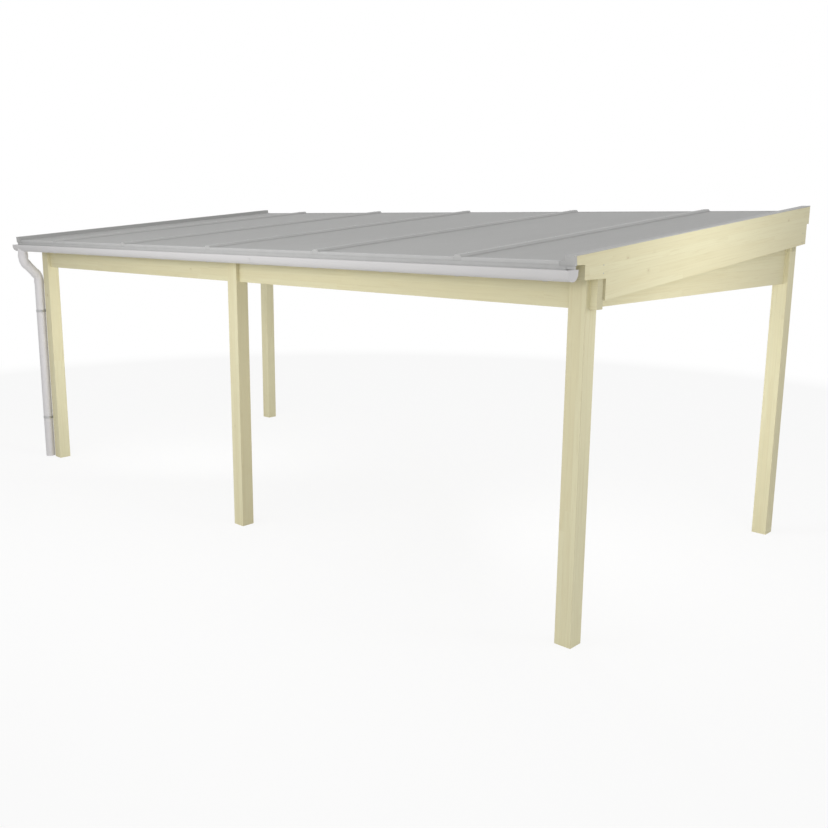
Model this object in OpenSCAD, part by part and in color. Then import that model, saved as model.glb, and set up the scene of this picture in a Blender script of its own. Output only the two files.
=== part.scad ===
// Lean-to pergola: laminated timber frame, sheet roof, gutter and downpipe.
// Millimetres, +Z up, the open front towards -Y.
// Z = 0 is the level the posts stand on; the whole is centred over the origin.
// Inside the modules X = 0 is the middle of the frame, Y = 0 the posts' front face.

/* [Frame] */
// Width over the outer faces of the corner posts
frame_w = 6480; // [4000:10:8000]
// Depth over the outer faces of the posts
frame_d = 2985; // [2000:5:4500]
// Side of the square posts
post = 115; // [90:1:160]
// Chamfer along the post edges
edge = 3; // [0.5:0.5:10]
// Underside of the front beam above the floor
head_h = 2030; // [1800:5:2600]
// Height of the beams
beam_h = 172; // [120:1:260]
// Thickness of the beams
beam_t = 60; // [40:1:90]
// Thickness of the post tongue that covers the beam
tongue = 33; // [20:1:50]
// How far the front beam runs past the corner posts
beam_out = 50; // [0:1:200]
// Thickness of the panels above the side openings
panel_t = 45; // [20:1:60]
// Saw clearance between a panel and its slot
panel_gap = 1; // [0.5:0.5:4]

/* [Roof] */
// Fall of the roof in degrees
pitch = 5; // [2:0.5:15]
// Distance between two rafters
bay = 1250; // [600:10:1600]
// Rafter width
rafter_w = 60; // [40:1:90]
// Rafter depth, square to the roof
rafter_h = 120; // [90:1:200]
// Roof underside above the floor, over the front face of the posts
roof_h = 2306; // [2100:1:2900]
// Sheet thickness
sheet_t = 16; // [8:1:25]
// How far the sheets run in front of the posts
eaves = 222; // [100:1:400]
// Where the sheets end, measured from the back face of the posts
sheet_back = 22; // [0:1:60]
// Width of a glazing bar cover
bar_w = 60; // [40:1:80]
// Height of a glazing bar cover above the sheet
bar_h = 18; // [8:1:30]
// Width of the bar web that stands between two sheets
web_w = 14; // [8:1:24]
// Play of a sheet beside a web or a plank
sheet_gap = 3; // [1:0.5:8]

/* [Barge planks] */
// Thickness of the side planks
plank_t = 58; // [30:1:80]
// Depth of the side planks, square to the roof
plank_h = 282; // [180:1:360]
// Gap between plank and post
plank_gap = 5; // [1:1:30]
// Height of the plank top above the roof underside
plank_rise = 49; // [30:1:80]
// Length of the plank nose in front of the posts
nose_out = 212; // [100:1:300]
// Height of the plank nose
nose_h = 52; // [30:1:120]
// Where the nose steps back over the gutter
nose_back = 125; // [60:1:180]
// How far the plank top runs behind the posts
tail_out = 36; // [0:1:120]
// Depth of the square tail behind the posts
tail_h = 135; // [60:1:200]

/* [Rainwater] */
// Outer radius of the half-round gutter
gutter_r = 50; // [35:1:80]
// Gutter wall
gutter_wall = 2.5; // [1.5:0.5:5]
// Top of the gutter above the floor
gutter_top = 2261; // [1900:1:2500]
// How far the gutter runs past the corner posts
gutter_out = 54; // [0:1:200]
// Where the two gutter lengths meet, right of the middle
gutter_split = 570; // [-2500:10:2500]
// Outer radius of the downpipe
pipe_r = 46; // [25:1:48]
// Downpipe wall
pipe_wall = 2.5; // [1.5:0.5:5]
// Bend of the two elbows in degrees
bend = 54; // [30:1:80]
// Centreline radius of the elbows
bend_r = 76; // [60:1:150]
// Outlet centre, measured inwards from the outer face of the corner post
outlet_in = 56; // [0:1:400]
// Gap between the pipe sockets and the post
pipe_gap = 4; // [2:1:60]
// Open end of the downpipe above the floor
pipe_foot = 8; // [2:1:300]

/* [Part shown] */
// One part or the whole pergola

/* [Hidden] */
$fn = 64;
slope = tan(pitch);
hw = frame_w / 2;
rafters = 5;
rafter_x = [for (i = [0 : rafters - 1]) (i - (rafters - 1) / 2) * bay];

// front beam seat and back beam seat
front_y = tongue;
front_top = head_h + beam_h;
back_y = frame_d - tongue - beam_t;
notch = 12;
above = 40;
back_top = floor(roof_h + slope * back_y - rafter_h / cos(pitch) + notch);
back_bottom = back_top - beam_h;

// roof plane helpers: height of the sheet underside at y
function roof_z(y) = roof_h + slope * y;
function plank_top(y) = roof_z(y) + plank_rise / cos(pitch);
function plank_low(y) = plank_top(y) - plank_h / cos(pitch);

plank_in = hw + plank_gap;
plank_out = plank_in + plank_t;
trim_t = 2;
trim_play = 0.5;
trim_drop = 3;
cap_out = max(eaves, nose_out + 10) + 6;
cap_low = 5;
cap_lap = 3;
flash_t = 2;
flash_low = 10;
flange_w = 40;
angle_t = 3;
tail_y = frame_d + tail_out;
sheet_y1 = frame_d - sheet_back;

fascia_t = 20;
fascia_y = -175;
gutter_y = fascia_y - 5 - gutter_r;
gutter_cz = gutter_top - 15;
gutter_z = gutter_cz - gutter_r;
bead_r = 7;
bead_wall = 1.5;
hook_t = 3;

socket_gap = 0.4;
sock_r0 = pipe_r + socket_gap;
socket_wall = 2.6;
socket_l = 34;
socket_r = sock_r0 + socket_wall;
outlet_x = -(hw - outlet_in);
outlet_z = gutter_z - 60;
pipe_x = -(hw + pipe_gap + socket_r);
pipe_y = -26;
run = [pipe_x - outlet_x, pipe_y - gutter_y];
run_l = norm(run);
run_a = atan2(run[1], run[0]);
slant = (run_l - 2 * bend_r * (1 - cos(bend))) / sin(bend);
elbow_z = outlet_z - 2 * bend_r * sin(bend) - slant * cos(bend);

joint_t = 2;
joint_w = 44;

// the whole pergola is centred over the floor
y_front = gutter_y - gutter_r - joint_t;
y_mid = (y_front + tail_y) / 2;
x_left = pipe_x - socket_r;
x_right = plank_out + trim_play + trim_t;
x_mid = (x_left + x_right) / 2;
timber = [0.86, 0.83, 0.66];
grey = [0.66, 0.67, 0.67];
zinc = [0.80, 0.80, 0.82];

module place() translate([-x_mid, -y_mid, 0]) children();
module both(side) mirror([side < 0 ? 1 : 0, 0, 0]) children();

// profile given as [y, z] points, extruded along X from x0 to x1
module along_x(x0, x1)
    translate([x0, 0, 0]) rotate([90, 0, 90]) linear_extrude(x1 - x0) children();

// profile given as [x, z] points, extruded up the slope from y0 to y1
module up_slope(y0, y1)
    translate([0, 0, roof_h]) rotate([pitch, 0, 0])
        translate([0, y1 / cos(pitch), 0]) rotate([90, 0, 0])
            linear_extrude((y1 - y0) / cos(pitch)) children();

// children cut off along a plane parallel to the roof, h above the sheet underside
module under_roof(h = 0) difference() {
    children();
    translate([0, 0, roof_h]) rotate([pitch, 0, 0])
        translate([-frame_w, -frame_d, h]) cube([2 * frame_w, 3 * frame_d, 1000]);
}

// children cut off below the same plane
module over_roof(h) intersection() {
    children();
    translate([0, 0, roof_h]) rotate([pitch, 0, 0])
        translate([-frame_w, -frame_d, h]) cube([2 * frame_w, 3 * frame_d, 1000]);
}

// square section with eased corners
module post_section() {
    e = edge;
    polygon([[e, 0], [post - e, 0], [post, e], [post, post - e],
             [post - e, post], [e, post], [0, post - e], [0, e]]);
}

// front post at x: full section to the shoulder, a tongue in front of the beam
module front_post(x)
    translate([x - post / 2, 0, 0]) difference() {
        linear_extrude(front_top) post_section();
        translate([-1, tongue, head_h]) cube([post + 2, post, beam_h + 1]);
    }

// back corner post on the right: slot for the side panel, notch for the beam
module back_post() {
    slot_x = hw - tongue - panel_t - panel_gap;
    difference() {
        translate([hw - post, frame_d - post, 0]) linear_extrude(back_top) post_section();
        translate([hw - post - 1, back_y, back_bottom]) cube([post + 2, beam_t, beam_h + 1]);
        translate([slot_x, frame_d - post - 1, head_h])
            cube([panel_t + panel_gap, back_y - (frame_d - post) + 1, beam_h * 4]);
    }
}

module front_beam() color(timber)
    translate([-hw - beam_out, front_y, head_h])
        cube([frame_w + 2 * beam_out, beam_t, beam_h]);

module back_beam() color(timber)
    translate([-plank_in, back_y, back_bottom])
        cube([2 * plank_in, beam_t, beam_h]);

// panel between front beam and back beam, its top edge under the sheets
module side_panel() color(timber) {
    y0 = front_y + beam_t;
    under_roof() translate([hw - tongue - panel_t, y0, head_h])
        cube([panel_t, back_y - y0, roof_z(back_y) + above - head_h]);
}

// deep plank outside the posts, stepped nose, seat over the front beam, stepped tail
module barge_plank() color(timber)
    under_roof(plank_rise) along_x(plank_in, plank_out)
        polygon([[-nose_out, plank_top(-nose_out) + above],
                 [-nose_out, plank_top(-nose_out) - nose_h],
                 [-nose_back, plank_top(-nose_out) - nose_h],
                 [-nose_back, front_top],
                 [front_y + beam_t, front_top],
                 [front_y + beam_t, plank_low(front_y + beam_t)],
                 [frame_d, plank_low(frame_d)],
                 [frame_d, plank_top(tail_y) - tail_h],
                 [tail_y, plank_top(tail_y) - tail_h],
                 [tail_y, plank_top(tail_y) + above]]);

// rafter: tail cut level with the beam top, a notch over each beam
module rafter(x) color(timber) {
    d = rafter_h / cos(pitch);
    y0 = fascia_y + fascia_t;
    y1 = frame_d - 5;
    f1 = front_y + beam_t;
    under_roof() along_x(x - rafter_w / 2, x + rafter_w / 2)
        polygon([[y0, roof_z(y0) + above], [y0, front_top], [f1, front_top], [f1, roof_z(f1) - d],
                 [back_y, roof_z(back_y) - d], [back_y, back_top],
                 [back_y + beam_t, back_top], [back_y + beam_t, roof_z(back_y + beam_t) - d],
                 [y1, roof_z(y1) - d], [y1, roof_z(y1) + above]]);
}

module fascia_board() color(timber)
    under_roof(-flash_t) translate([-plank_in, fascia_y, front_top])
        cube([2 * plank_in, fascia_t, roof_h - front_top]);

// sheet number i of six, between two webs or between a web and a plank
module roof_sheet(i) color(grey) {
    x0 = i == 0 ? -plank_in + sheet_gap : rafter_x[i - 1] + web_w / 2 + sheet_gap;
    x1 = i == rafters ? plank_in - sheet_gap : rafter_x[i] - web_w / 2 - sheet_gap;
    up_slope(-eaves, sheet_y1) translate([x0, 0]) square([x1 - x0, sheet_t]);
}

// web on the rafter and a chamfered cover over the two sheet edges
module glazing_bars() color(grey)
    for (x = rafter_x) up_slope(-eaves + 14, sheet_y1 + 10) translate([x, 0])
        polygon([[-web_w / 2, 0], [web_w / 2, 0], [web_w / 2, sheet_t],
                 [bar_w / 2, sheet_t], [bar_w / 2, sheet_t + 5],
                 [bar_w / 2 - 12, sheet_t + bar_h], [-bar_w / 2 + 12, sheet_t + bar_h],
                 [-bar_w / 2, sheet_t + 5], [-bar_w / 2, sheet_t], [-web_w / 2, sheet_t]]);

// bent sheet over the plank: outer leg, cap, inner leg and a flange on the roof sheet,
// folded down in front of the plank nose and back along its outer face
module edge_trim() color(grey) {
    xi = plank_in - trim_play;
    x0 = xi - trim_t;
    x1 = plank_out + trim_play + trim_t;
    z0 = plank_rise + trim_play;
    up_slope(-cap_out + trim_t / 2, tail_y)
        polygon([[x1, z0 + trim_t], [x0, z0 + trim_t], [x0, sheet_t + trim_t],
                 [plank_in - flange_w, sheet_t + trim_t], [plank_in - flange_w, sheet_t],
                 [xi, sheet_t], [xi, z0],
                 [x1 - trim_t, z0], [x1 - trim_t, plank_rise - trim_drop],
                 [x1, plank_rise - trim_drop]]);
    up_slope(-cap_out, -cap_out + trim_t)
        polygon([[x1, z0 + trim_t], [x0, z0 + trim_t], [x0, sheet_t + trim_t],
                 [plank_in - flange_w, sheet_t + trim_t], [plank_in - flange_w, -cap_low],
                 [x1, -cap_low]]);
    up_slope(-cap_out + trim_t / 2, -nose_out + cap_lap) translate([x1 - trim_t, -cap_low])
        square([trim_t, plank_rise + cap_low]);
}

// angle over the end of each sheet, a leg down the edge and a flange on top
module sheet_profile(y, dir) color(grey) {
    x1 = plank_in - flange_w - 2;
    leg = sheet_gap / 2;
    for (i = [0 : rafters]) {
        a = i == 0 ? -x1 : rafter_x[i - 1] + bar_w / 2 + 1;
        b = i == rafters ? x1 : rafter_x[i] - bar_w / 2 - 1;
        translate([a, 0, roof_h]) rotate([pitch, 0, 0]) translate([0, y / cos(pitch), 0])
            mirror([0, dir > 0 ? 0 : 1, 0]) {
                translate([0, leg, 0]) cube([b - a, angle_t, sheet_t + angle_t]);
                translate([0, -24, sheet_t]) cube([b - a, 24 + leg + angle_t, angle_t]);
            }
    }
}

// bent sheet: a flange on the fascia under the roof sheets, a leg down into the gutter
module eaves_flashing() color(grey) {
    x1 = plank_in - 1;
    y1 = fascia_y + fascia_t - 1;
    under_roof() {
        along_x(-x1, x1)
            polygon([[-eaves, gutter_top - flash_low], [-eaves + flash_t, gutter_top - flash_low],
                     [-eaves + flash_t, roof_h], [-eaves, roof_h]]);
        over_roof(-flash_t) along_x(-x1, x1)
            polygon([[-eaves, roof_h - above], [y1, roof_h - above], [y1, roof_h], [-eaves, roof_h]]);
    }
}

// where the rolled bead sits along the front lip, from the centre of the trough
module at_bead() translate([-gutter_r + bead_r, gutter_top - gutter_cz - bead_r]) children();

// half-round trough, its back as high as the rolled bead along the front lip
module gutter_profile() translate([gutter_y, gutter_cz]) {
    difference() {
        circle(r = gutter_r);
        circle(r = gutter_r - gutter_wall);
        translate([-2 * gutter_r, 0]) square([4 * gutter_r, 2 * gutter_r]);
    }
    translate([gutter_r - gutter_wall, 0]) square([gutter_wall, gutter_top - gutter_cz]);
    difference() {
        union() {
            translate([-gutter_r, 0]) square([gutter_wall, gutter_top - gutter_cz - bead_r]);
            at_bead() circle(r = bead_r);
        }
        at_bead() circle(r = bead_r - bead_wall);
    }
}

module gutter_left() color(zinc)
    difference() {
        along_x(-hw - gutter_out, gutter_split) gutter_profile();
        translate([outlet_x, gutter_y, gutter_z - 5])
            cylinder(r = pipe_r - pipe_wall, h = gutter_r - 5);
    }

module gutter_right() color(zinc)
    along_x(gutter_split, hw + gutter_out) gutter_profile();

// flat cap over the end of the trough and its bead
module gutter_end() color(zinc)
    along_x(hw + gutter_out, hw + gutter_out + 3)
        translate([gutter_y, gutter_cz]) {
            intersection() {
                circle(r = gutter_r);
                translate([-gutter_r, -gutter_r]) square([2 * gutter_r, gutter_r]);
            }
            translate([-gutter_r, 0]) square([2 * gutter_r, gutter_top - gutter_cz]);
        }

// plate on the fascia, hook over the back edge, arm under the back of the trough
module gutter_brackets() color(zinc)
    for (x = [-3090, -2500, -1875, -1250, -625, 0, 625, 1250, 1875, 2500, 3120])
        along_x(x - 15, x + 15) translate([gutter_y, gutter_cz]) {
            gap = fascia_y - gutter_y - gutter_r;
            back = gutter_top - gutter_cz;
            translate([gutter_r, 0]) square([gap, back + hook_t]);
            translate([gutter_r - gutter_wall - hook_t, back])
                square([gutter_wall + hook_t + gap, hook_t]);
            translate([gutter_r - gutter_wall - hook_t, back - 9]) square([hook_t, 9 + hook_t]);
            difference() {
                union() {
                    circle(r = gutter_r + hook_t);
                    translate([gutter_r - 20, -26]) square([20 + gap, 26]);
                }
                circle(r = gutter_r);
                translate([-2 * gutter_r, -2 * gutter_r]) square([2 * gutter_r, 4 * gutter_r]);
                translate([-1, 0]) square([2 * gutter_r, 2 * gutter_r]);
            }
        }

// band under the gutter where its two lengths meet
module gutter_joint() color(zinc)
    along_x(gutter_split - joint_w / 2, gutter_split + joint_w / 2)
        translate([gutter_y, gutter_cz]) difference() {
            circle(r = gutter_r + joint_t);
            circle(r = gutter_r);
            translate([-2 * gutter_r, 0]) square([4 * gutter_r, 2 * gutter_r]);
        }

module tube(r, w, h) difference() {
    cylinder(r = r, h = h);
    translate([0, 0, -1]) cylinder(r = r - w, h = h + 2);
}

// short pipe with a saddle that follows the underside of the gutter
module outlet() color(zinc)
    translate([outlet_x, gutter_y, 0]) difference() {
        translate([0, 0, outlet_z]) cylinder(r = pipe_r, h = gutter_cz - outlet_z - 12);
        translate([0, 0, outlet_z - 1]) cylinder(r = pipe_r - pipe_wall, h = gutter_cz - outlet_z);
        translate([-pipe_r - 1, 0, gutter_cz]) rotate([0, 90, 0])
            cylinder(r = gutter_r, h = 2 * pipe_r + 2);
    }

// bent pipe in the XZ plane, turning from straight down towards +X
module bent_tube(r1, r0)
    translate([bend_r, 0, 0]) mirror([1, 0, 0]) rotate([-90, 0, 0])
        rotate_extrude(angle = bend) translate([bend_r, 0]) difference() {
            circle(r = r1);
            circle(r = r0);
        }

// socket that grips the end of a bent pipe and holds a straight pipe above it
module socket() difference() {
    translate([0, 0, -3]) cylinder(r = socket_r, h = socket_l + 3);
    translate([0, 0, -1]) cylinder(r = sock_r0, h = socket_l + 2);
    translate([0, 0, -4]) cylinder(r = pipe_r - pipe_wall / 2, h = socket_l);
}

// elbow between a straight and a slanted pipe, a socket at each end
module elbow() {
    bent_tube(pipe_r, pipe_r - pipe_wall);
    socket();
    translate([bend_r * (1 - cos(bend)), 0, -bend_r * sin(bend)]) rotate([0, 180 - bend, 0]) socket();
}

module swan_neck(x, y, z) translate([x, y, z]) rotate([0, 0, run_a]) children();

module upper_elbow() color(zinc)
    swan_neck(outlet_x, gutter_y, outlet_z) elbow();

module lower_elbow() color(zinc)
    swan_neck(pipe_x, pipe_y, elbow_z) rotate([0, 180, 0]) elbow();

module offset_pipe() color(zinc)
    swan_neck(outlet_x, gutter_y, outlet_z)
        translate([bend_r * (1 - cos(bend)), 0, -bend_r * sin(bend)]) rotate([0, 180 - bend, 0])
            tube(pipe_r, pipe_wall, slant);

module downpipe() color(zinc)
    translate([pipe_x, pipe_y, pipe_foot]) tube(pipe_r, pipe_wall, elbow_z - pipe_foot);

// ring round the pipe with a foot on the outer face of the post
module pipe_clips() color(zinc)
    for (z = [420, 1560]) translate([0, 0, z]) {
        difference() {
            union() {
                translate([pipe_x, pipe_y, 0]) cylinder(r = pipe_r + 2.5, h = 24);
                translate([-hw - 4, edge + 1, 0]) cube([4, post - 2 * edge - 32, 24]);
                translate([-hw - 24, edge + 1, 0]) cube([24, 12, 24]);
            }
            translate([pipe_x, pipe_y, -1]) cylinder(r = pipe_r, h = 26);
        }
    }

color(timber) place() front_post(-hw + post / 2);  // front_left_post
color(timber) place() front_post(0);  // front_middle_post
color(timber) place() front_post(hw - post / 2);  // front_right_post
color(timber) place() both(-1) back_post();  // back_left_post
color(timber) place() back_post();  // back_right_post
place() front_beam();
place() back_beam();
place() both(-1) side_panel();  // left_side_panel
place() side_panel();  // right_side_panel
place() both(-1) barge_plank();  // left_barge_plank
place() barge_plank();  // right_barge_plank
place() rafter(rafter_x[0]);  // rafter_1
place() rafter(rafter_x[1]);  // rafter_2
place() rafter(rafter_x[2]);  // rafter_3
place() rafter(rafter_x[3]);  // rafter_4
place() rafter(rafter_x[4]);  // rafter_5
place() fascia_board();
place() roof_sheet(0);  // roof_sheet_1
place() roof_sheet(1);  // roof_sheet_2
place() roof_sheet(2);  // roof_sheet_3
place() roof_sheet(3);  // roof_sheet_4
place() roof_sheet(4);  // roof_sheet_5
place() roof_sheet(5);  // roof_sheet_6
place() glazing_bars();
place() both(-1) edge_trim();  // left_edge_trim
place() edge_trim();  // right_edge_trim
place() sheet_profile(-eaves, -1);  // front_sheet_profile
place() sheet_profile(sheet_y1, 1);  // back_sheet_profile
place() eaves_flashing();
place() gutter_left();
place() gutter_right();
place() both(-1) gutter_end();  // gutter_end_left
place() gutter_end();  // gutter_end_right
place() gutter_brackets();
place() gutter_joint();
place() outlet();
place() upper_elbow();
place() offset_pipe();
place() lower_elbow();
place() downpipe();
place() pipe_clips();
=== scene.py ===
"""Lean-to pergola: finishes for the timber, roof and rainwater goods, and their small hardware.

Metres throughout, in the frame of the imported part. Run it as a script; it isn't meant to be installed.
"""

import math

import bmesh
import bpy
from bpy.props import FloatProperty, FloatVectorProperty, PointerProperty
from mathutils import Matrix, Vector


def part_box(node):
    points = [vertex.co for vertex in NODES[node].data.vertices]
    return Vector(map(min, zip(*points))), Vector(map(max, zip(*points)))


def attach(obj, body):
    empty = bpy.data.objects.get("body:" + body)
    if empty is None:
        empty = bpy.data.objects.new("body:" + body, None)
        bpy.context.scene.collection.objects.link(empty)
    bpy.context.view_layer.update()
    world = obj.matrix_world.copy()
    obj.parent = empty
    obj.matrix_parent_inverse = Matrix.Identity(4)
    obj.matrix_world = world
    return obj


bl_info = {
    "name": "Lean-to pergola finishes",
    "version": (1, 0, 0),
    "blender": (4, 5, 0),
    "location": "View3D > Sidebar > Pergola",
    "description": "Timber, roof sheet and rainwater finishes with the small hardware of a lean-to pergola",
    "category": "Object",
}

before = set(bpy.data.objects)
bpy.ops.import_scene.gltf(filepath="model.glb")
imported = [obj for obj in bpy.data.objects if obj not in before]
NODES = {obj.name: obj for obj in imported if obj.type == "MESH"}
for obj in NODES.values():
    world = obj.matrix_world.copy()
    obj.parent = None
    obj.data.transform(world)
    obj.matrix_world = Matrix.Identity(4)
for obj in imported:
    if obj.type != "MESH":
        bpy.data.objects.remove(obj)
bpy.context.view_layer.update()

POSTS = ["front_left_post", "front_middle_post", "front_right_post", "back_left_post", "back_right_post"]
BEAMS = ["front_beam", "back_beam"]
PANELS = ["left_side_panel", "right_side_panel"]
PLANKS = ["left_barge_plank", "right_barge_plank"]
SIDES = (("left", -1), ("right", 1))
CORNERS = {"front_left_post": "left_side_panel", "front_right_post": "right_side_panel"}
RAFTERS = ["rafter_1", "rafter_2", "rafter_3", "rafter_4", "rafter_5"]
SHEETS = ["roof_sheet_1", "roof_sheet_2", "roof_sheet_3", "roof_sheet_4", "roof_sheet_5", "roof_sheet_6"]
EDGE_TRIMS = ["left_edge_trim", "right_edge_trim"]
PROFILES = ["front_sheet_profile", "back_sheet_profile", "eaves_flashing"]
GUTTERS = ["gutter_left", "gutter_right", "gutter_end_left", "gutter_end_right", "gutter_joint"]
PIPES = ["outlet", "upper_elbow", "offset_pipe", "lower_elbow", "downpipe"]

ROOF_PITCH = math.radians(5)
SLOPING = ("plank_timber", "rafter_timber")
X_AXIS = Vector((1.0, 0.0, 0.0))
Z_AXIS = Vector((0.0, 0.0, 1.0))
SHARP_EDGE = math.radians(40)

# Timber: how the members are glued up. A seam is darkest in its core and fades to its half width.
POST_LAMELLAS = 3
BEAM_LAMELLAS = 4
PANEL_LAMELLA = 0.043
PLANK_DEPTH = 0.282
PLANK_LAMELLAS = 7
RAFTER_DEPTH = 0.120
RAFTER_LAMELLA = 0.040
SOLID_BOARD = 0.4
BOARD_LENGTH = 1.7
FINGERS_PER_METRE = 130.0
FINGER_LENGTH = 0.010
SEAM_HALF_WIDTH = 0.0006
SEAM_CORE = 0.0001

# Fixings in the timber.
BOLT_STAGGER = 0.016
LOW_BOLT, HIGH_BOLT = 0.27, 0.73
SCREWS_ABOVE_FRONT_BEAM = (0.030, 0.075)
SCREWS_BELOW_BACK_BEAM_TOP = (0.035, 0.105)
FASCIA_SCREWS = ((-0.022, 0.030), (0.022, 0.058))
PLANK_SCREW, FASCIA_SCREW, CLIP_SCREW = 0.0040, 0.0042, 0.0040

# Bars, caps, flashing and gaskets.
COVER_SHOULDER = 0.005
COVER_DRAW_IN = 0.012
CAP_ROUNDING = 0.0008
FRONT_CAP = (-0.0045, -0.0008)
FRONT_CAP_LAP = -0.0012
BAR_END_GAP = 0.0002
BACK_CAP_REACH = 0.003
PROFILE_LIFT = 0.0005
RETURN_THICK = 0.0015
RETURN_SET_BACK = 0.0021
RETURN_LAP = 0.004
RETURN_OVERHANG = 0.0020
RETURN_ABOVE_GUTTER = 0.0010
RETURN_BELOW_TRIM = 0.0003
GASKET_STOP = 0.027
GASKET_LIP = ((0.0, 0.0), (0.0022, 0.0), (0.0026, 0.0008), (0.0, 0.0024))
END_SCREW = 0.08
TRIM_SCREW_INSET = 0.018
TRIM_FLANGE = 0.002
BAR_SCREW, BAR_WASHER = 0.0050, 0.0085
TRIM_SCREW, TRIM_WASHER = 0.0042, 0.0075

# Downpipe clips.
CLIP_MIDDLE = 0.012
CLIP_SCREW_ROWS = (0.062, 0.076)
CLIP_PLATE = 0.004

# Stage: each lamp has its name, place, target, size and power.
LAMPS = [
    ("fill_lamp", (7.5, -8.0, 3.0), (0.0, 0.0, 1.2), (4.0, 4.0), 120.0),
    ("front_lamp", (0.1, -4.2, 2.6), (0.1, -1.5, 2.1), (4.8, 0.7), 52.0),
    ("side_lamp", (4.9, -0.15, 2.3), (3.3, -0.15, 2.25), (0.8, 0.8), 15.0),
    ("left_lamp", (-1.5, -0.9, 1.5), (-3.2, 1.2, 1.3), (1.0, 1.0), 21.0),
    ("middle_lamp", (1.5, -1.0, 1.4), (0.0, -1.3, 1.4), (0.8, 0.8), 3.0),
    ("right_lamp", (1.6, -0.3, 1.6), (3.2, 1.4, 1.5), (0.9, 0.9), 23.0),
]
SKY_LIGHT = 0.62
CAMERA_PLACE = (6.0324, -5.8687, 2.5358)
CAMERA_TURN = (math.radians(78.784), 0.0, math.radians(44.864))
CAMERA_SHIFT = (0.0552, -0.0160)


class RoofPlane:
    """The underside of the sheets: across, up the slope from their front edge, and square to it."""

    def __init__(self):
        low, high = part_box("roof_sheet_3")
        c, s = math.cos(ROOF_PITCH), math.sin(ROOF_PITCH)
        run, rise, turn = high.y - low.y, high.z - low.z, math.cos(2 * ROOF_PITCH)
        self.length = (run * c - rise * s) / turn
        self.thick = (rise * c - run * s) / turn
        self.origin = Vector((0.0, low.y + self.thick * s, low.z))
        self.up = Vector((0.0, c, s))
        self.square = Vector((0.0, -s, c))
        low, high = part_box("glazing_bars")
        self.bar_back = (high.y - self.origin.y) / c
        self.bar_top = (high.z - self.origin.z - self.bar_back * s) / c
        self.bar_front = (low.y - self.origin.y + self.bar_top * s) / c

    def point(self, x, up, square):
        """The point in the part's frame."""
        return self.origin + Vector((x, 0.0, 0.0)) + self.up * up + self.square * square


def middle(name):
    """The middle of a node's box."""
    low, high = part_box(name)
    return (low + high) / 2


def side_x(name, side):
    """The x of a node's left (-1) or right (1) side."""
    low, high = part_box(name)
    return high.x if side > 0 else low.x


# ---------------------------------------------------------------- shader values


class Value:
    """A socket's value that plain arithmetic works on; each sum adds its Math node."""

    def __init__(self, shader, socket):
        self.shader = shader
        self.socket = socket

    def _math(self, operation, *terms):
        return self.shader.node("ShaderNodeMath", {"operation": operation}, dict(enumerate(terms)))

    def __add__(self, other):
        return self._math("ADD", self, other)

    def __radd__(self, other):
        return self._math("ADD", other, self)

    def __sub__(self, other):
        return self._math("SUBTRACT", self, other)

    def __rsub__(self, other):
        return self._math("SUBTRACT", other, self)

    def __mul__(self, other):
        return self._math("MULTIPLY", self, other)

    def __rmul__(self, other):
        return self._math("MULTIPLY", other, self)

    def __truediv__(self, other):
        return self._math("DIVIDE", self, other)

    def __rtruediv__(self, other):
        return self._math("DIVIDE", other, self)

    def __gt__(self, other):
        return self._math("GREATER_THAN", self, other)

    def __lt__(self, other):
        return self._math("LESS_THAN", self, other)

    def floor(self):
        return self._math("FLOOR", self)

    def fract(self):
        return self._math("FRACT", self)

    def absolute(self):
        return self._math("ABSOLUTE", self)

    def root(self):
        return self._math("SQRT", self)

    def most(self, other):
        return self._math("MAXIMUM", self, other)

    def ramp(self, low, high):
        """0 at low, 1 at high, smooth between."""
        settings = {"interpolation_type": "SMOOTHSTEP"}
        return self.shader.node("ShaderNodeMapRange", settings, {0: self, 1: low, 2: high, 3: 0.0, 4: 1.0})


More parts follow.
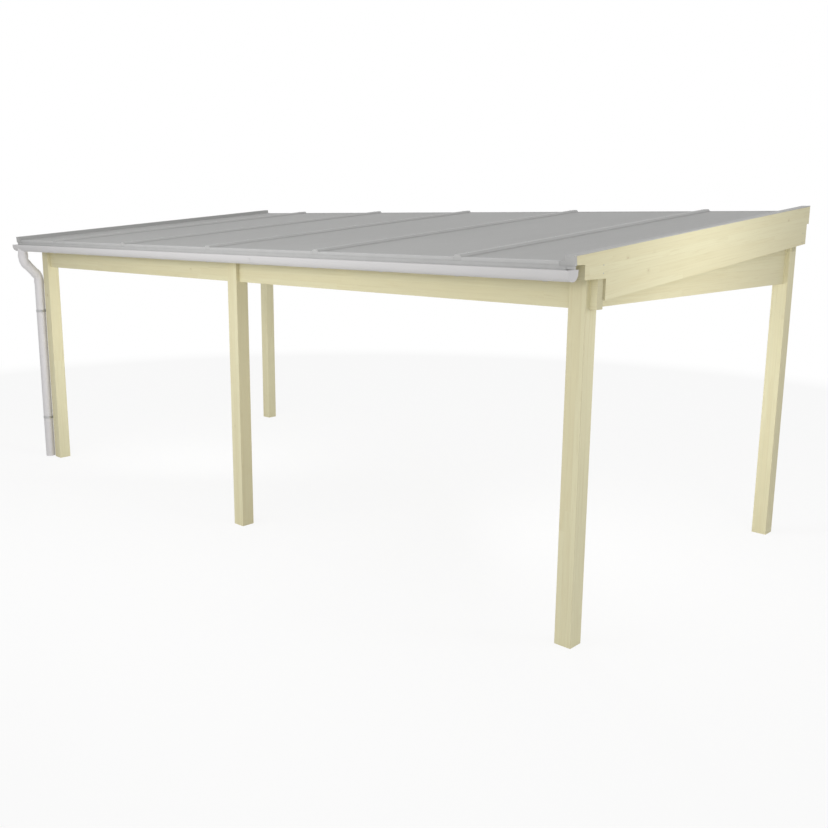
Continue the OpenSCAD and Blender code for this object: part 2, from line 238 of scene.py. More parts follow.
class Shader:
    """A material under construction."""

    def __init__(self, name):
        self.material = bpy.data.materials.new(name)
        self.material.use_nodes = True
        self.tree = self.material.node_tree
        self.tree.nodes.clear()
        self._place = None

    def node(self, kind, settings=None, sockets=None, out=0):
        """Adds a node: its settings first, then the values or links of its sockets."""
        made = self.tree.nodes.new(kind)
        for key, value in (settings or {}).items():
            setattr(made, key, value)
        for key, value in (sockets or {}).items():
            target = made.inputs[key]
            if isinstance(value, Value):
                self.tree.links.new(value.socket, target)
            else:
                target.default_value = value
        return Value(self, made.outputs[out])

    def place(self):
        """The point's coordinates in the part's frame, as three values."""
        if self._place is None:
            point = self.node("ShaderNodeTexCoord", out="Object")
            self._place = self.split(point)
        return self._place

    def split(self, vector):
        """A vector's three parts."""
        parts = self.node("ShaderNodeSeparateXYZ", {}, {0: vector}).socket.node
        return [Value(self, output) for output in parts.outputs]

    def join(self, x, y, z):
        """A vector from three parts."""
        return self.node("ShaderNodeCombineXYZ", {}, {0: x, 1: y, 2: z})

    def noise(self, vector, scale, detail=2.0, roughness=0.5):
        sockets = {"Vector": vector, "Scale": scale, "Detail": detail, "Roughness": roughness}
        return self.node("ShaderNodeTexNoise", {}, sockets)

    def chance(self, vector):
        """One number from 0 to 1 for each whole-numbered point."""
        return self.node("ShaderNodeTexWhiteNoise", {"noise_dimensions": "3D"}, {"Vector": vector})

    def mix(self, factor, first, second):
        """The first colour, with the factor's share of the second."""
        return self.node("ShaderNodeMix", {"data_type": "RGBA"}, {0: factor, 6: first, 7: second}, out=2)

    def bump(self, height, strength, distance):
        sockets = {"Strength": strength, "Distance": distance, "Height": height}
        return self.node("ShaderNodeBump", {}, sockets)

    def surface(self, constants, varying):
        """Principled surface and output: constants on its own sockets, then what varies."""
        shader = self.node("ShaderNodeBsdfPrincipled", {}, {**constants, **varying})
        self.node_output(shader)
        return self.material

    def node_output(self, shader):
        """Makes a shader the material's surface."""
        output = self.tree.nodes.new("ShaderNodeOutputMaterial")
        self.tree.links.new(shader.socket, output.inputs["Surface"])


def shade(colour, factor):
    """A written colour made lighter or darker."""
    return tuple(min(1.0, channel * factor) for channel in colour[:3]) + (1.0,)


# ---------------------------------------------------------------- finishes


def along_roof(shader):
    """Coordinates turned with the roof: across, up the slope, square to the sheets."""
    x, y, z = shader.place()
    c, s = math.cos(ROOF_PITCH), math.sin(ROOF_PITCH)
    return x, y * c + z * s, z * c - y * s


def laminated_timber(name, grain, stack, origin, lamella, look):
    """Planed, finger-jointed laminated spruce.

    grain and stack are 0, 1 or 2: the axis the grain runs along and the one the lamellas are stacked along.
    origin is where the first lamella starts, and lamella is its thickness.
    """
    shader = Shader(name)
    axes = along_roof(shader) if name in SLOPING else shader.place()
    run = axes[grain]
    height = axes[stack]
    across = axes[3 - grain - stack]
    layer = ((height - origin) / lamella).floor()
    inside = ((height - origin) / lamella).fract()

    zigzag = ((across * FINGERS_PER_METRE).fract() - 0.5).absolute() * (2 * FINGER_LENGTH)
    member = (across * 0.9).floor()
    board_start = shader.chance(shader.join(layer, member, 3.0)) * BOARD_LENGTH
    board = ((run + zigzag + board_start) / BOARD_LENGTH).floor()
    tone = shader.chance(shader.join(layer, board, member))
    shift = shader.chance(shader.join(board, layer, member + 7.0)) * 9.0

    bend = shader.noise(shader.join(run * 0.7, across * 6.0, height * 6.0 + shift), 1.0, 1.0)
    line_place = shader.join(run * 1.1 + shift, across * 85.0 + bend * 14.0, height * 85.0 + shift)
    lines = shader.noise(line_place, 1.0, 3.0, 0.6)
    fibre_place = shader.join(run * 9.0, across * 900.0, height * 900.0)
    fibre = shader.noise(fibre_place, 1.0, 1.0, 0.5)
    cloud = shader.noise(shader.join(run * 1.3, across * 2.0, height * 2.0 + shift), 1.0, 1.0)

    knot_place = shader.join(run * 0.8 + shift, across, height)
    knot = shader.node("ShaderNodeTexVoronoi", {"feature": "F1"}, {"Vector": knot_place, "Scale": 4.2})
    knot = knot + (lines - 0.5) * 0.030
    knot_core = 1.0 - knot.ramp(0.016, 0.050)
    knot_ring = 1.0 - knot.ramp(0.035, 0.120)

    early = tuple(look.timber_colour) + (1.0,)
    late = tuple(look.latewood_colour) + (1.0,)
    colour = shader.mix(lines.ramp(0.46, 0.72) * 0.42, early, late)
    colour = shader.mix(tone * 0.30, colour, shade(late, 1.04))
    colour = shader.mix(cloud.ramp(0.35, 0.7) * 0.12, colour, shade(early, 1.10))
    colour = shader.mix(fibre.ramp(0.55, 0.8) * 0.06, colour, shade(late, 0.75))
    colour = shader.mix(knot_ring * 0.22, colour, shade(late, 0.86))
    colour = shader.mix(knot_core * 0.45, colour, tuple(look.knot_colour) + (1.0,))
    seam = (inside - 0.5).absolute().ramp(0.5 - SEAM_HALF_WIDTH / lamella, 0.5 - SEAM_CORE / lamella)
    colour = shader.mix(seam * 0.35, colour, shade(late, 0.70))

    normal = shader.node("ShaderNodeNewGeometry", out="Normal")
    facing = shader.split(normal)
    if name in SLOPING:
        c, s = math.cos(ROOF_PITCH), math.sin(ROOF_PITCH)
        facing = [facing[0], facing[1] * c + facing[2] * s, facing[2] * c - facing[1] * s]
    end = (facing[grain].absolute() > 0.8) * 1.0
    pith_up = inside - 0.5 + 0.9
    pith_across = (across + shift * 0.01) * 0.35
    from_pith = (pith_up * pith_up * lamella * lamella + pith_across * pith_across).root()
    rings = ((from_pith + bend * 0.004) * 420.0).fract()
    end_colour = shader.mix(rings.ramp(0.3, 0.9) * 0.7, shade(early, 0.86), shade(late, 0.72))
    end_colour = shader.mix(seam * 0.4, end_colour, shade(late, 0.55))
    colour = shader.mix(end, colour, end_colour)

    relief = lines * 0.35 + fibre * 0.25 - seam * 0.6 - knot_core * 0.3
    varying = {
        "Base Color": colour,
        "Roughness": look.timber_roughness - 0.05 + lines * 0.08 + end * 0.08,
        "Normal": shader.bump(relief, 0.30, 0.0006),
    }
    return shader.surface({"Specular IOR Level": 0.35}, varying)


def sheet_finish(look):
    """Satin grey multiwall sheet: fine inner webs up the slope and a slight mottle."""
    shader = Shader("roof_sheet_grey")
    across, up, square = along_roof(shader)
    web = (across / look.web_spacing).fract()
    web = 1.0 - (web - 0.5).absolute().ramp(0.40, 0.49)
    mottle = shader.noise(shader.join(across * 1.5, up * 0.8, square), 1.0, 3.0, 0.55)
    dust = shader.noise(shader.join(across * 22.0, up * 7.0, square), 1.0, 4.0, 0.6)
    base = tuple(look.sheet_colour) + (1.0,)
    colour = shader.mix((1.0 - web) * 0.10, base, shade(base, 1.25))
    colour = shader.mix(mottle.ramp(0.3, 0.75) * 0.10, colour, shade(base, 0.84))
    colour = shader.mix(dust.ramp(0.52, 0.8) * 0.06, colour, shade(base, 1.30))
    varying = {
        "Base Color": colour,
        "Roughness": 0.44 + dust * 0.12 + mottle * 0.06,
        "Normal": shader.bump(web * 0.5 + dust * 0.2, 0.15, 0.0008),
    }
    return shader.surface({"Specular IOR Level": 0.32}, varying)


def profile_finish(name, colour, metallic, roughness):
    """Extruded or folded metal: fine drawing lines along the length and faint blotches."""
    shader = Shader(name)
    across, up, square = along_roof(shader)
    drawn = shader.noise(shader.join(across * 700.0, up * 1.5, square * 700.0), 1.0, 2.0, 0.6)
    blotch = shader.noise(shader.join(across * 9.0, up * 3.0, square * 9.0), 1.0, 3.0, 0.55)
    base = tuple(colour) + (1.0,)
    tint = shader.mix(blotch.ramp(0.35, 0.7) * 0.22, base, shade(base, 0.86))
    tint = shader.mix(drawn.ramp(0.5, 0.8) * 0.10, tint, shade(base, 1.12))
    varying = {
        "Base Color": tint,
        "Roughness": roughness + blotch * 0.08 + drawn * 0.05,
        "Normal": shader.bump(drawn, 0.08, 0.0003),
    }
    return shader.surface({"Metallic": metallic}, varying)


def rainwater_finish(name, colour):
    """Pale moulded rainwater goods: smooth, slightly glossy, a little dust."""
    shader = Shader(name)
    x, y, z = shader.place()
    dust = shader.noise(shader.join(x * 5.0, y * 18.0, z * 18.0), 1.0, 4.0, 0.6)
    ripple = shader.noise(shader.join(x * 1.2, y * 30.0, z * 30.0), 1.0, 1.0)
    base = tuple(colour) + (1.0,)
    tint = shader.mix(dust.ramp(0.45, 0.8) * 0.20, base, shade(base, 0.88))
    varying = {
        "Base Color": tint,
        "Roughness": 0.30 + dust * 0.18,
        "Normal": shader.bump(ripple, 0.05, 0.002),
    }
    return shader.surface({"Specular IOR Level": 0.5}, varying)


def moulded_finish(name, colour):
    """Grey moulded plastic with a fine spark-eroded texture."""
    shader = Shader(name)
    x, y, z = shader.place()
    point = shader.join(x, y, z)
    texture = shader.noise(point, 1400.0, 2.0, 0.6)
    cloud = shader.noise(point, 24.0, 3.0, 0.55)
    base = tuple(colour) + (1.0,)
    varying = {
        "Base Color": shader.mix(cloud.ramp(0.35, 0.75) * 0.3, base, shade(base, 0.86)),
        "Roughness": 0.45 + texture * 0.15,
        "Normal": shader.bump(texture, 0.12, 0.0002),
    }
    return shader.surface({"Specular IOR Level": 0.4}, varying)


def plated_finish(name, colour, roughness):
    """Plated steel: fine spangle and a slightly uneven sheen."""
    shader = Shader(name)
    x, y, z = shader.place()
    point = shader.join(x, y, z)
    spangle = shader.node("ShaderNodeTexVoronoi", {"feature": "F1"}, {"Vector": point, "Scale": 140.0})
    cloud = shader.noise(point, 35.0, 3.0, 0.6)
    base = tuple(colour) + (1.0,)
    tint = shader.mix(cloud.ramp(0.3, 0.75) * 0.35, base, shade(base, 0.78))
    varying = {
        "Base Color": tint,
        "Roughness": roughness + spangle * 0.12,
        "Normal": shader.bump(cloud, 0.08, 0.0004),
    }
    return shader.surface({"Metallic": 0.9}, varying)


def gasket_finish(look):
    """Dull synthetic rubber lip."""
    shader = Shader("gasket_rubber")
    x, y, z = shader.place()
    bloom = shader.noise(shader.join(x * 60.0, y * 12.0, z * 60.0), 1.0, 3.0, 0.6)
    base = tuple(look.gasket_colour) + (1.0,)
    varying = {
        "Base Color": shader.mix(bloom.ramp(0.4, 0.8) * 0.4, base, shade(base, 1.25)),
        "Roughness": 0.62 + bloom * 0.2,
        "Normal": shader.bump(bloom, 0.1, 0.0004),
    }
    return shader.surface({}, varying)


# ---------------------------------------------------------------- making pieces


def give(names, material):
    """Gives CAD nodes their finish."""
    for name in names:
        slots = NODES[name].data.materials
        slots.clear()
        slots.append(material)


def ease(names, radius, segments=2):
    """Small rounding along the edges of CAD nodes, as a modifier."""
    for name in names:
        bevel = NODES[name].modifiers.new("eased_edges", "BEVEL")
        bevel.width = radius
        bevel.segments = segments
        bevel.limit_method = "ANGLE"
        bevel.angle_limit = SHARP_EDGE
        bevel.harden_normals = False


def piece(name, mesh, material, rounding=0.0):
    """A finished new piece that rides on the frame's one body."""
    made = bpy.data.meshes.new(name)
    bmesh.ops.recalc_face_normals(mesh, faces=mesh.faces)
    mesh.to_mesh(made)
    mesh.free()
    made.materials.append(material)
    item = bpy.data.objects.new(name, made)
    bpy.context.scene.collection.objects.link(item)
    if rounding:
        bevel = item.modifiers.new("rounded_edges", "BEVEL")
        bevel.width = rounding
        bevel.segments = 2
        bevel.limit_method = "ANGLE"
        bevel.angle_limit = SHARP_EDGE
    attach(item, "root")
    return item


def ring(mesh, matrix, radius, height, count, lobes=0.0):
    """A ring of points about the matrix's Z; lobes draws it into a six-pointed star."""
    points = []
    for i in range(count):
        angle = 2 * math.pi * i / count
        reach = radius * (1 + lobes * math.cos(6 * angle))
        point = Vector((reach * math.cos(angle), reach * math.sin(angle), height))
        points.append(mesh.verts.new(matrix @ point))
    return points


def lathe(mesh, matrix, profile, count):
    """Turns (radius, height, lobes) rings about the matrix's Z and closes both ends."""
    rows = [ring(mesh, matrix, *point[:2], count, *point[2:]) for point in profile]
    for low, high in zip(rows, rows[1:]):
        for i in range(count):
            j = (i + 1) % count
            mesh.faces.new((low[i], low[j], high[j], high[i]))
    mesh.faces.new(rows[0][::-1])
    mesh.faces.new(rows[-1])


def aim(point, direction):
    """Matrix with its Z along a direction, at a point."""
    turn = Vector(direction).to_track_quat("Z", "Y").to_matrix().to_4x4()
    return Matrix.Translation(Vector(point)) @ turn


def star_screws(name, seats, radius, material, washer=0.0):
    """Domed screws with a star recess, each on its seat (point, direction)."""
    mesh = bmesh.new()
    for point, direction in seats:
        matrix = aim(point, direction)
        base = 0.0
        if washer:
            lathe(mesh, matrix, [(washer, 0.0), (washer, 0.0012), (washer * 0.96, 0.0017)], 24)
            base = 0.0016
        rings = [(radius, base), (radius, base + radius * 0.18), (radius * 0.88, base + radius * 0.42),
                 (radius * 0.66, base + radius * 0.55), (radius * 0.52, base + radius * 0.58),
                 (radius * 0.46, base + radius * 0.56, 0.12), (radius * 0.40, base + radius * 0.20, 0.12)]
        lathe(mesh, matrix, rings, 24)
    return piece(name, mesh, material)


def hex_bolts(name, seats, across, material):
    """Hexagon heads on round washers, each on its seat (point, direction)."""
    mesh = bmesh.new()
    for point, direction in seats:
        matrix = aim(point, direction)
        lathe(mesh, matrix, [(across, 0.0), (across, 0.0018), (across * 0.96, 0.0024)], 28)
        corner = across / math.sqrt(3)
        rings = [(corner, 0.0022), (corner, across * 0.30), (corner * 0.90, across * 0.36)]
        lathe(mesh, matrix, rings, 6)
    return piece(name, mesh, material)


def prism(mesh, start, end, side, up, outline):
    """A straight length between two points, its section given as (side, up) offsets."""
    near = [mesh.verts.new(start + side * s + up * u) for s, u in outline]
    far = [mesh.verts.new(end + side * s + up * u) for s, u in outline]
    count = len(outline)
    for i in range(count):
        j = (i + 1) % count
        mesh.faces.new((near[i], near[j], far[j], far[i]))
    mesh.faces.new(near[::-1])
    mesh.faces.new(far)


class Bar:
    """The line of one glazing bar, on which straight lengths are placed."""

    def __init__(self, plane, x):
        self.plane = plane
        self.x = x

    def length(self, mesh, start, end, outline):
        """A length of the given section, from one distance up the slope to another."""
        near, far = self.plane.point(self.x, start, 0.0), self.plane.point(self.x, end, 0.0)
        prism(mesh, near, far, X_AXIS, self.plane.square, outline)


# ---------------------------------------------------------------- settings


class TimberSettings(bpy.types.PropertyGroup):
    timber_colour: FloatVectorProperty(
        name="Early wood", description="Pale wood between the growth lines", subtype="COLOR",
        default=(0.69, 0.65, 0.44), min=0.0, max=1.0)
    latewood_colour: FloatVectorProperty(
        name="Late wood", description="Darker growth lines", subtype="COLOR",
        default=(0.585, 0.515, 0.312), min=0.0, max=1.0)
    knot_colour: FloatVectorProperty(
        name="Knots", description="Colour of a knot", subtype="COLOR",
        default=(0.38, 0.24, 0.12), min=0.0, max=1.0)
    timber_roughness: FloatProperty(
        name="Roughness", description="Surface roughness of planed timber", default=0.58, min=0.0, max=1.0)
    eased_edge: FloatProperty(
        name="Eased edge", description="Rounding of the planed edges", default=0.002, min=0.0, unit="LENGTH")
    fixing_colour: FloatVectorProperty(
        name="Fixings", description="Colour of the bolts and screws in the timber", subtype="COLOR",
        default=(0.58, 0.58, 0.57), min=0.0, max=1.0)
    bolt_width: FloatProperty(
        name="Bolt width", description="Width across the flats of the bolt heads", default=0.013,
        min=0.004, unit="LENGTH")


class RoofSettings(bpy.types.PropertyGroup):
    sheet_colour: FloatVectorProperty(
        name="Sheet", description="Colour of the roof sheets", subtype="COLOR",
        default=(0.425, 0.425, 0.417), min=0.0, max=1.0)
    web_spacing: FloatProperty(
        name="Web spacing", description="Distance between the inner webs of a sheet", default=0.016,
        min=0.004, unit="LENGTH")
    bar_colour: FloatVectorProperty(
        name="Bars", description="Colour of the glazing bars and their caps", subtype="COLOR",
        default=(0.49, 0.49, 0.483), min=0.0, max=1.0)
    trim_colour: FloatVectorProperty(
        name="Edge trims", description="Colour of the trims along the planks", subtype="COLOR",
        default=(0.46, 0.46, 0.452), min=0.0, max=1.0)
    profile_colour: FloatVectorProperty(
        name="Profiles", description="Colour of the sheet profiles and the flashing", subtype="COLOR",
        default=(0.55, 0.55, 0.545), min=0.0, max=1.0)
    gasket_colour: FloatVectorProperty(
        name="Gaskets", description="Colour of the rubber lips", subtype="COLOR",
        default=(0.50, 0.50, 0.49), min=0.0, max=1.0)
    bar_width: FloatProperty(
        name="Bar width", description="Width of a bar cover", default=0.060, min=0.02, unit="LENGTH")
    screw_colour: FloatVectorProperty(
        name="Screws", description="Colour of the roof screws and washers", subtype="COLOR",
        default=(0.62, 0.62, 0.62), min=0.0, max=1.0)
    screw_spacing: FloatProperty(
        name="Screw spacing", description="Distance between two screws in a bar cover", default=0.30,
        min=0.05, unit="LENGTH")


class RainwaterSettings(bpy.types.PropertyGroup):
    gutter_colour: FloatVectorProperty(
        name="Gutter", description="Colour of the gutter", subtype="COLOR",
        default=(0.56, 0.55, 0.55), min=0.0, max=1.0)
    pipe_colour: FloatVectorProperty(
        name="Pipe", description="Colour of the downpipe", subtype="COLOR",
        default=(0.66, 0.645, 0.655), min=0.0, max=1.0)
    bracket_colour: FloatVectorProperty(
        name="Brackets", description="Colour of the brackets and clips", subtype="COLOR",
        default=(0.60, 0.60, 0.60), min=0.0, max=1.0)


class StageSettings(bpy.types.PropertyGroup):
    floor_size: FloatProperty(
        name="Floor", description="Side of the studio floor", default=90.0, min=10.0, unit="LENGTH")
    floor_colour: FloatVectorProperty(
        name="Floor colour", description="Colour of the studio floor", subtype="COLOR",
        default=(0.92, 0.92, 0.92), min=0.0, max=1.0)
    floor_white: FloatProperty(
        name="Floor whiteness", description="Share of plain white in what the camera sees of the floor",
        default=0.86, min=0.0, max=1.0)
    lens: FloatProperty(
        name="Lens", description="Focal length of the camera", default=40.26, min=10.0, unit="CAMERA")


# ---------------------------------------------------------------- operators


class PERGOLA_OT_timber(bpy.types.Operator):
    """Finish the posts, beams, panels, planks, rafters and fascia board, and fit their fixings"""

    bl_idname = "pergola.timber"
    bl_label = "Timber"

    def execute(self, context):
        look = context.scene.pergola_timber
        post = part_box("front_middle_post")
        lamella = (post[1].x - post[0].x) / POST_LAMELLAS
        give(POSTS, laminated_timber("post_timber", 2, 0, post[0].x, lamella, look))
        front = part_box("front_beam")
        step = (front[1].z - front[0].z) / BEAM_LAMELLAS
        give(["front_beam"], laminated_timber("front_beam_timber", 0, 2, front[0].z, step, look))
        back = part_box("back_beam")
        give(["back_beam"], laminated_timber("back_beam_timber", 0, 2, back[0].z, step, look))
        # One layer thicker than the fascia board, so that the board shows no seam.
        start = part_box("fascia_board")[0].z - SOLID_BOARD / 4
        give(["fascia_board"], laminated_timber("fascia_timber", 0, 2, start, SOLID_BOARD, look))
        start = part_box("right_side_panel")[0].z
        give(PANELS, laminated_timber("panel_timber", 1, 2, start, PANEL_LAMELLA, look))
        start = self.sloping_top("right_barge_plank") - PLANK_DEPTH
        lamella = PLANK_DEPTH / PLANK_LAMELLAS
        give(PLANKS, laminated_timber("plank_timber", 1, 2, start, lamella, look))
        start = self.sloping_top("rafter_3") - RAFTER_DEPTH
        give(RAFTERS, laminated_timber("rafter_timber", 1, 2, start, RAFTER_LAMELLA, look))
        ease(POSTS + BEAMS + PANELS + PLANKS + RAFTERS + ["fascia_board"], look.eased_edge)
        zinc = plated_finish("fixing_zinc", look.fixing_colour, 0.34)
        self.beam_bolts(look, zinc)
        self.plank_screws(zinc)
        self.fascia_screws(zinc)
        return {"FINISHED"}

    def sloping_top(self, name):
        """Where a sloping member's top lies, measured square to the roof."""
        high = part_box(name)[1]
        return high.z * math.cos(ROOF_PITCH) - high.y * math.sin(ROOF_PITCH)

    def beam_bolts(self, look, zinc):
        """Two bolts at each post, with heads on the front beam's inner face or the back post's outer one."""
        seats = []
        front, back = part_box("front_beam"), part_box("back_beam")
        for name in POSTS:
            x, stagger = middle(name).x, BOLT_STAGGER
            if name in CORNERS:
                # The side panel ends against the beam here, so both bolts stand beside it, in one line.
                inward = 1 if x < 0 else -1
                x = (side_x(name, inward) + side_x(CORNERS[name], inward)) / 2
                stagger = 0.0
            beam = front if name.startswith("front") else back
            y = front[1].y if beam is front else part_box(name)[1].y
            for share, side in ((LOW_BOLT, 1), (HIGH_BOLT, -1)):
                z = beam[0].z + (beam[1].z - beam[0].z) * share
                seats.append(((x + stagger * side, y, z), (0, 1, 0)))
        hex_bolts("beam_bolts", seats, look.bolt_width, zinc)

    def plank_screws(self, zinc):
        """Screw heads on the planks' outer faces: over the front beam, and at the end of the back beam."""
        rows = [("front_beam", rise) for rise in SCREWS_ABOVE_FRONT_BEAM]
        rows += [("back_beam", -drop) for drop in SCREWS_BELOW_BACK_BEAM_TOP]
        seats = []
        for plank, side in SIDES:
            face = side_x(plank + "_barge_plank", side)
            for beam, rise in rows:
                seats.append(((face, middle(beam).y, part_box(beam)[1].z + rise), (side, 0, 0)))
        star_screws("plank_screws", seats, PLANK_SCREW, zinc)

    def fascia_screws(self, zinc):
        """Two screws through the fascia board into the end of each rafter."""
        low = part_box("fascia_board")[0]
        seats = []
        for name in RAFTERS:
            for across, rise in FASCIA_SCREWS:
                seats.append(((middle(name).x + across, low.y, low.z + rise), (0, -1, 0)))
        star_screws("fascia_screws", seats, FASCIA_SCREW, zinc)


class PERGOLA_OT_roof(bpy.types.Operator):
    """Finish the roof sheets, bars and trims, and fit caps, flashing returns, gaskets and screws"""

    bl_idname = "pergola.roof"
    bl_label = "Roof"

    def execute(self, context):
        look = context.scene.pergola_roof
        give(SHEETS, sheet_finish(look))
        give(["glazing_bars"], profile_finish("bar_aluminium", look.bar_colour, 0.20, 0.46))
        give(EDGE_TRIMS, profile_finish("trim_aluminium", look.trim_colour, 0.20, 0.48))
        profile = profile_finish("profile_aluminium", look.profile_colour, 0.20, 0.46)
        give(PROFILES, profile)
        ease(EDGE_TRIMS + PROFILES + ["glazing_bars"], 0.0005)
        plane = RoofPlane()
        self.end_caps(look, plane)
        self.flashing_returns(profile)
        self.gaskets(look, plane)
        self.screws(look, plane)
        return {"FINISHED"}

    def end_caps(self, look, plane):
        """Moulded caps that close the ends of the bars and the gaps between the sheet profiles."""
        half, top, shoulder = look.bar_width / 2, plane.bar_top, plane.thick + COVER_SHOULDER
        crown = half - COVER_DRAW_IN
        right = [(half, 0.0), (half, shoulder), (crown, top)]
        outline = [(-half, 0.0)] + right + [(-crown, top), (-half, shoulder)]
        over = [(x, max(z, plane.thick + PROFILE_LIFT)) for x, z in outline]
        finish = moulded_finish("cap_moulding", look.bar_colour)
        front, back = bmesh.new(), bmesh.new()
        for name in RAFTERS:
            bar = Bar(plane, middle(name).x)
            bar.length(front, *FRONT_CAP, outline)
            bar.length(front, FRONT_CAP_LAP, plane.bar_front - BAR_END_GAP, over)
            bar.length(back, plane.bar_back + BAR_END_GAP, plane.bar_back + BACK_CAP_REACH, outline)
        piece("front_bar_caps", front, finish, rounding=CAP_ROUNDING)
        piece("back_bar_caps", back, finish, rounding=CAP_ROUNDING)

    def flashing_returns(self, profile):
        """Small plates that carry the flashing on under the planks' noses, above the ends of the gutter."""
        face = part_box("eaves_flashing")[0].y + RETURN_SET_BACK
        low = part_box("gutter_left")[1].z + RETURN_ABOVE_GUTTER
        near, far = Vector((0.0, face, 0.0)), Vector((0.0, face + RETURN_THICK, 0.0))
        mesh = bmesh.new()
        for name, side in SIDES:
            outer = side_x(name + "_barge_plank", side) + side * RETURN_OVERHANG
            inner = side_x("eaves_flashing", side) - side * RETURN_LAP
            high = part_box(name + "_edge_trim")[0].z - RETURN_BELOW_TRIM
            corners = [(inner, low), (outer, low), (outer, high), (inner, high)]
            prism(mesh, near, far, X_AXIS, Z_AXIS, corners)
        piece("flashing_returns", mesh, profile)

    def gaskets(self, look, plane):
        """Rubber lips between the bar covers, the edge trims and the sheets."""
        lip = [(out, plane.thick + rise) for out, rise in GASKET_LIP]
        lines = [(middle(name).x + side * look.bar_width / 2, side) for name in RAFTERS for side in (-1, 1)]
        lines += [(side_x(name + "_edge_trim", -side), -side) for name, side in SIDES]
        mesh = bmesh.new()
        for x, side in lines:
            start, end = plane.point(x, GASKET_STOP, 0.0), plane.point(x, plane.length - GASKET_STOP, 0.0)
            prism(mesh, start, end, X_AXIS * side, plane.square, lip)
        piece("sheet_gaskets", mesh, gasket_finish(look))

    def screws(self, look, plane):
        """Rows of screws down the bar covers and along the flanges of the edge trims."""
        steel = plated_finish("screw_steel", look.screw_colour, 0.30)
        first = plane.bar_front + END_SCREW
        reach = plane.bar_back - END_SCREW - first
        count = round(reach / look.screw_spacing)
        rows = [first + i * reach / count for i in range(count + 1)]
        bars = [middle(name).x for name in RAFTERS]
        seats = [(plane.point(x, up, plane.bar_top), plane.square) for x in bars for up in rows]
        star_screws("bar_screws", seats, BAR_SCREW, steel, washer=BAR_WASHER)
        trims = [side_x(name + "_edge_trim", -side) + side * TRIM_SCREW_INSET for name, side in SIDES]
        height = plane.thick + TRIM_FLANGE
        seats = [(plane.point(x, up, height), plane.square) for x in trims for up in rows]
        star_screws("trim_screws", seats, TRIM_SCREW, steel, washer=TRIM_WASHER)


class PERGOLA_OT_rainwater(bpy.types.Operator):
    """Finish the gutter, its brackets and the downpipe, and fit the clip screws"""

    bl_idname = "pergola.rainwater"
    bl_label = "Rainwater goods"

    def execute(self, context):
        look = context.scene.pergola_rainwater
        give(GUTTERS, rainwater_finish("gutter_plastic", look.gutter_colour))
        give(PIPES, rainwater_finish("pipe_plastic", look.pipe_colour))
        zinc = plated_finish("bracket_zinc", look.bracket_colour, 0.36)
        give(["gutter_brackets", "pipe_clips"], zinc)
        ease(["pipe_clips", "gutter_end_left", "gutter_end_right"], 0.0006)
        low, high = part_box("pipe_clips")
        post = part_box("front_left_post")[0]
        seats = []
        for z in (low.z + CLIP_MIDDLE, high.z - CLIP_MIDDLE):
            for back in CLIP_SCREW_ROWS:
                seats.append(((post.x - CLIP_PLATE, post.y + back, z), (-1, 0, 0)))
        star_screws("clip_screws", seats, CLIP_SCREW, zinc)
        return {"FINISHED"}


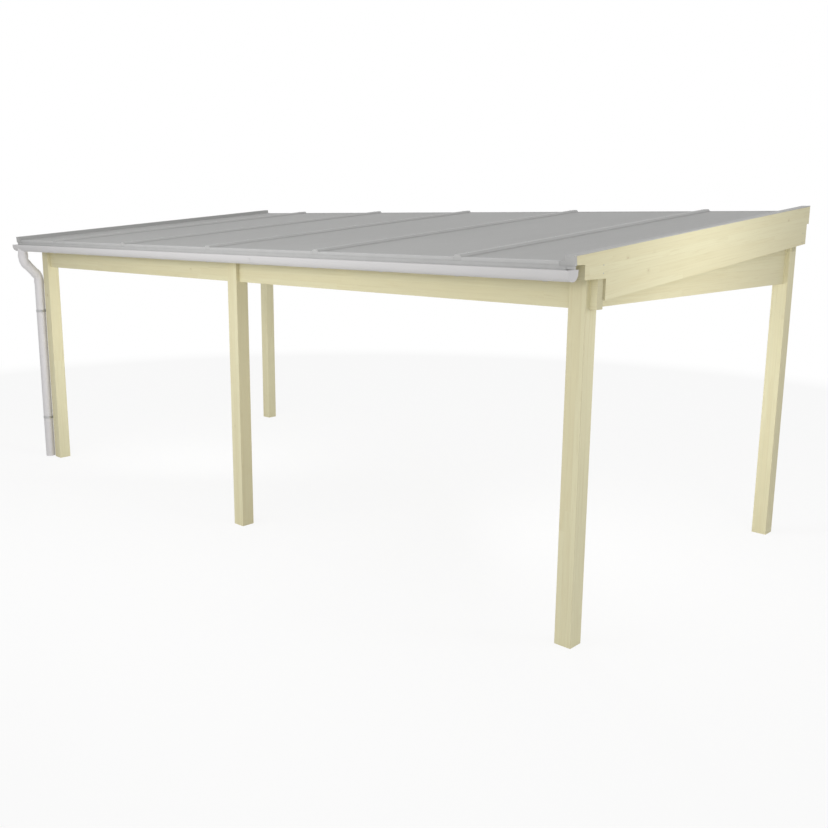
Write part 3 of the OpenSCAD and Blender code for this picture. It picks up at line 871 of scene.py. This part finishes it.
class PERGOLA_OT_stage(bpy.types.Operator):
    """Set up the floor, the studio light and the camera"""

    bl_idname = "pergola.stage"
    bl_label = "Stage"

    def execute(self, context):
        look = context.scene.pergola_stage
        scene = context.scene
        self.floor(look)
        self.surroundings(scene)
        self.lamps(scene)
        self.camera(scene, look)
        scene.view_settings.view_transform = "Standard"
        return {"FINISHED"}

    def floor(self, look):
        """One flat face that the posts stand on."""
        half = look.floor_size / 2
        mesh = bmesh.new()
        corners = [(-half, -half), (half, -half), (half, half), (-half, half)]
        mesh.faces.new([mesh.verts.new((x, y, 0.0)) for x, y in corners])
        data = bpy.data.meshes.new("studio_floor")
        mesh.to_mesh(data)
        mesh.free()
        data.materials.append(self.floor_finish(look))
        floor = bpy.data.objects.new("studio_floor", data)
        bpy.context.scene.collection.objects.link(floor)

    def floor_finish(self, look):
        """Pale floor: the camera sees it near white with a faint shadow, and all white further out."""
        shader = Shader("studio_floor")
        x, y, z = shader.place()
        grain = shader.noise(shader.join(x, y, z), 0.35, 2.0)
        base = tuple(look.floor_colour) + (1.0,)
        tint = shader.mix(grain * 0.05, base, shade(base, 0.98))
        matt = {"Base Color": tint, "Roughness": 0.9, "Specular IOR Level": 0.0}
        lit = shader.node("ShaderNodeBsdfPrincipled", {}, matt)
        white = shader.node("ShaderNodeEmission", {}, {"Color": (1.0, 1.0, 1.0, 1.0), "Strength": 1.0})
        seen = shader.node("ShaderNodeLightPath", out="Is Camera Ray")
        far = (x * x + y * y).root().ramp(4.5, 10.0)
        factor = seen * far.most(look.floor_white)
        shader.node_output(shader.node("ShaderNodeMixShader", {}, {0: factor, 1: lit, 2: white}))
        return shader.material

    def surroundings(self, scene):
        """White to the camera and in reflections, and dimmer as light on the pergola."""
        world = bpy.data.worlds.new("studio")
        scene.world = world
        world.use_nodes = True
        tree = world.node_tree
        tree.nodes.clear()
        path = tree.nodes.new("ShaderNodeLightPath")
        seen = tree.nodes.new("ShaderNodeMath")
        seen.operation = "MAXIMUM"
        tree.links.new(path.outputs["Is Camera Ray"], seen.inputs[0])
        tree.links.new(path.outputs["Is Glossy Ray"], seen.inputs[1])
        strength = tree.nodes.new("ShaderNodeMapRange")
        strength.inputs["To Min"].default_value = SKY_LIGHT
        strength.inputs["To Max"].default_value = 1.0
        tree.links.new(seen.outputs[0], strength.inputs["Value"])
        background = tree.nodes.new("ShaderNodeBackground")
        background.inputs["Color"].default_value = (1.0, 1.0, 1.0, 1.0)
        tree.links.new(strength.outputs[0], background.inputs["Strength"])
        output = tree.nodes.new("ShaderNodeOutputWorld")
        tree.links.new(background.outputs[0], output.inputs["Surface"])

    def lamps(self, scene):
        """A broad fill, a strip along the front, and four small lamps, each aimed at one part."""
        for name, place, target, size, power in LAMPS:
            data = bpy.data.lights.new(name, "AREA")
            data.shape = "RECTANGLE"
            data.size, data.size_y = size
            data.energy = power
            lamp = bpy.data.objects.new(name, data)
            scene.collection.objects.link(lamp)
            lamp.location = place
            lamp.visible_camera = False
            lamp.visible_glossy = False
            lamp.rotation_euler = (Vector(target) - Vector(place)).to_track_quat("-Z", "Y").to_euler()

    def camera(self, scene, look):
        """Off the front right corner, a little above the eaves."""
        data = bpy.data.cameras.new("camera")
        data.sensor_width = 36.0
        data.lens = look.lens
        data.shift_x, data.shift_y = CAMERA_SHIFT
        data.clip_end = 300.0
        camera = bpy.data.objects.new("camera", data)
        scene.collection.objects.link(camera)
        camera.location = CAMERA_PLACE
        camera.rotation_euler = CAMERA_TURN
        scene.camera = camera


class PERGOLA_PT_panel(bpy.types.Panel):
    """Lists the pieces and the stage"""

    bl_label = "Pergola"
    bl_idname = "PERGOLA_PT_panel"
    bl_space_type = "VIEW_3D"
    bl_region_type = "UI"
    bl_category = "Pergola"

    def draw(self, context):
        column = self.layout.column()
        for operator in OPERATORS:
            column.operator(operator.bl_idname)


GROUPS = {
    "pergola_timber": TimberSettings,
    "pergola_roof": RoofSettings,
    "pergola_rainwater": RainwaterSettings,
    "pergola_stage": StageSettings,
}
OPERATORS = [PERGOLA_OT_timber, PERGOLA_OT_roof, PERGOLA_OT_rainwater, PERGOLA_OT_stage]


def register():
    for item in list(GROUPS.values()) + OPERATORS + [PERGOLA_PT_panel]:
        bpy.utils.register_class(item)
    for name, group in GROUPS.items():
        setattr(bpy.types.Scene, name, PointerProperty(type=group))


def unregister():
    for name in GROUPS:
        delattr(bpy.types.Scene, name)
    for item in reversed(list(GROUPS.values()) + OPERATORS + [PERGOLA_PT_panel]):
        bpy.utils.unregister_class(item)


def main():
    register()
    bpy.ops.pergola.timber()
    bpy.ops.pergola.roof()
    bpy.ops.pergola.rainwater()
    bpy.ops.pergola.stage()


if __name__ == "__main__":
    main()
